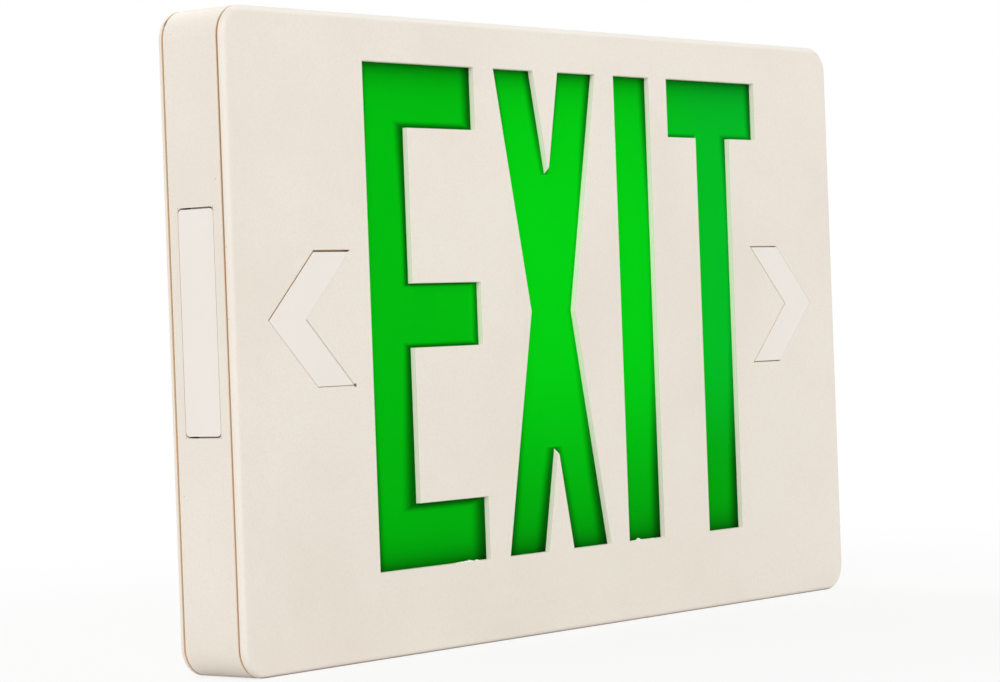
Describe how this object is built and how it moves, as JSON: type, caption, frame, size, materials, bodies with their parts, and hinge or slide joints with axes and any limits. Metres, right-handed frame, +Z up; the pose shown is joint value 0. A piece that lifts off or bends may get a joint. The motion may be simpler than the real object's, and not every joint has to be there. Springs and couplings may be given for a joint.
{
  "type": "emergency exit sign light",
  "caption": "Slim edge-lit emergency exit sign: moulded housing with cut-out EXIT legend over a green lens, chevron blanks, battery backup and a push-to-test button.",
  "frame": {"origin": "centre of the wire entry in the back plate's wall face", "axes": "+X to the right as the sign is read, +Y from the front into the wall, +Z up"},
  "size_m": [0.309, 0.0258, 0.1924],
  "materials": {
    "housing_plastic": "warm off-white, fine matte speckle",
    "back_plastic": "warm off-white, fine matte speckle",
    "insert_plastic": "cooler off-white, smooth satin",
    "lens_plastic": "translucent green sheet, satin",
    "reflector_plastic": "white, matte",
    "led_board": "white solder mask",
    "led_body": "white body with a clear dish",
    "driver_laminate": "green solder mask",
    "transformer_body": "dark core with a taped winding",
    "capacitor_sleeve": "black sleeve",
    "resistor_body": "tan lacquer",
    "black_epoxy": "moulded black epoxy",
    "terminal_plastic": "green moulding",
    "connector_plastic": "natural white moulding",
    "battery_sleeve": "shrink sleeve",
    "clip_steel": "spring steel",
    "screw_steel": "bright zinc plate",
    "wire_jacket": "smooth insulation",
    "button_plastic": "red moulding, satin",
    "switch_body": "black moulding",
    "indicator_lens": "tinted light pipe"
  },
  "bodies": {
    "sign": {"front_faceplate": "housing_plastic", "housing_frame": "housing_plastic", "back_plate": "back_plastic", "green_lens": "lens_plastic", "left_chevron_insert": "insert_plastic", "right_chevron_insert": "insert_plastic", "left_side_cover": "insert_plastic", "right_side_cover": "insert_plastic", "top_cover": "insert_plastic", "board_screws": "screw_steel", "light_baffle": "reflector_plastic", "upper_led_board": "led_board", "lower_led_board": "led_board", "upper_leds": "led_body", "lower_leds": "led_body", "led_lead": "wire_jacket", "battery_lead": "wire_jacket", "led_connector": "connector_plastic", "battery_connector": "connector_plastic", "driver_board": "driver_laminate", "transformer": "transformer_body", "filter_capacitors": "capacitor_sleeve", "resistors": "resistor_body", "diodes": "black_epoxy", "power_transistor": "black_epoxy", "supply_terminal_block": "terminal_plastic", "battery_pack": "battery_sleeve", "battery_clips": "clip_steel", "test_switch": "switch_body", "status_indicator": "indicator_lens"},
    "test_button": {"test_button": "button_plastic", "switch_plunger": "black_epoxy"}
  },
  "joints": [
    {"name": "test_button_press", "type": "slide", "parent": "sign", "child": "test_button", "axis": [0, 0, 1], "range_m": [0, 0.0015], "stiffness_N_per_m": 400, "springref_m": -0.002}
  ]
}
